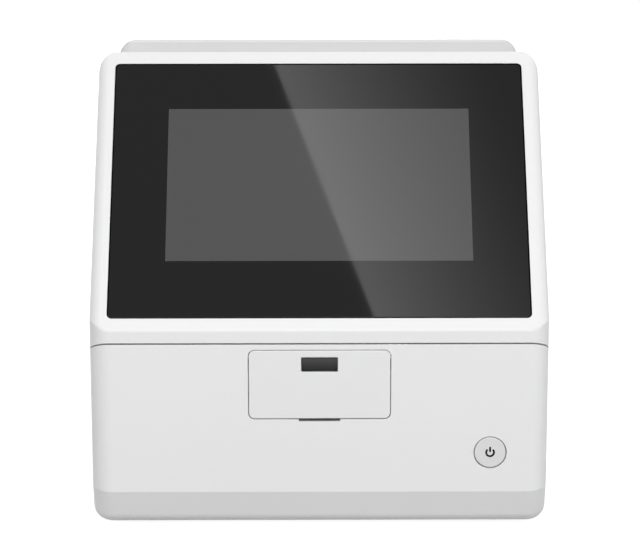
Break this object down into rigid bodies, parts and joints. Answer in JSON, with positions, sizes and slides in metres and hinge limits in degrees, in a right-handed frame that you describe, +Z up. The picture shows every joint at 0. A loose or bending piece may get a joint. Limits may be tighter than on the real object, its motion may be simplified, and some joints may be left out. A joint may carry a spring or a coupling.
{
  "type": "dry chemistry analyzer",
  "caption": "Bench dry chemistry analyzer: white moulded case, inclined glass display, front access door with a card port, and a round power button.",
  "frame": {"origin": "on the table, under the middle of the case's width and depth", "axes": "+X to the right as seen from the front, +Y to the rear, +Z up"},
  "size_m": [0.262, 0.24, 0.2672],
  "materials": {
    "case_white": "fine satin moulding",
    "glass_black": "gloss, black border printed behind",
    "panel_grey": "satin",
    "sheet_steel": "zinc plated",
    "board_green": "solder mask",
    "black_plastic": "moulded",
    "bright_steel": "ground or nickel plated",
    "brass": "turned",
    "heater_aluminium": "milled",
    "lens_glass": "polished",
    "foot_rubber": "moulded",
    "paper": "thermal paper"
  },
  "bodies": {
    "case": {"bay_bracket": "sheet_steel", "board_standoffs": "brass", "button_holder": "black_plastic", "button_spring": "bright_steel", "card_guide": "black_plastic", "chassis_plate": "sheet_steel", "chassis_screws": "bright_steel", "cover_glass": "glass_black", "detector_board": "board_green", "display_board": "board_green", "display_frame": "case_white", "display_panel": "panel_grey", "door_hinge_pins": "bright_steel", "fan_frame": "black_plastic", "glass_gasket": "black_plastic", "guide_rods": "bright_steel", "home_sensor": "black_plastic", "lamp_board": "board_green", "latch_magnet": "black_plastic", "lid_hinge_pins": "bright_steel", "lower_case": "case_white", "main_board": "board_green", "network_socket": "bright_steel", "optics_housing": "black_plastic", "optics_lens": "lens_glass", "panel_tray": "sheet_steel", "paper_well": "black_plastic", "power_jack": "black_plastic", "print_head": "sheet_steel", "rear_cover": "case_white", "rubber_feet": "foot_rubber", "screw_bearing": "brass", "serial_plug": "bright_steel", "speaker": "black_plastic", "stepper_motor": "bright_steel", "switch_board": "board_green", "usb_sockets": "bright_steel"},
    "door": {"access_door": "case_white", "door_strike": "sheet_steel"},
    "button": {"power_button": "case_white"},
    "carriage": {"card_carriage": "black_plastic", "lead_nut": "brass", "heater_plate": "heater_aluminium"},
    "screw": {"lead_screw": "bright_steel"},
    "fan": {"fan_rotor": "black_plastic"},
    "lid": {"printer_lid": "case_white"},
    "platen": {"platen_roller": "foot_rubber"},
    "roll": {"paper_roll": "paper"}
  },
  "joints": [
    {"name": "door_swing", "type": "hinge", "parent": "case", "child": "door", "pos_m": [0, -0.118, 0.1039], "axis": [-1, 0, 0], "range_deg": [0, 100]},
    {"name": "button_press", "type": "slide", "parent": "case", "child": "button", "axis": [0, 1, 0], "range_m": [0, 0.0015], "stiffness_N_per_m": 800, "springref_m": -0.0008, "deforming": ["button_spring"]},
    {"name": "carriage_slide", "type": "slide", "parent": "case", "child": "carriage", "axis": [0, 1, 0], "range_m": [0, 0.04]},
    {"name": "screw_spin", "type": "hinge", "parent": "case", "child": "screw", "pos_m": [0, 0, 0.088], "axis": [0, 1, 0], "range_deg": [-360, 3960]},
    {"name": "fan_spin", "type": "hinge", "parent": "case", "child": "fan", "pos_m": [0.072, 0.11, 0.05], "axis": [0, 1, 0], "continuous": true},
    {"name": "lid_swing", "type": "hinge", "parent": "case", "child": "lid", "pos_m": [0, 0.08919, 0.24625], "axis": [-1, 0, 0], "range_deg": [0, 95]},
    {"name": "platen_spin", "type": "hinge", "parent": "lid", "child": "platen", "pos_m": [0, 0.03898, 0.25155], "axis": [1, 0, 0], "continuous": true},
    {"name": "roll_spin", "type": "hinge", "parent": "case", "child": "roll", "pos_m": [0, 0.06483, 0.22707], "axis": [1, 0, 0], "continuous": true}
  ],
  "couplings": [
    {"joint": "screw_spin", "follows": "carriage_slide", "rad_per_m": 1570.8}
  ]
}
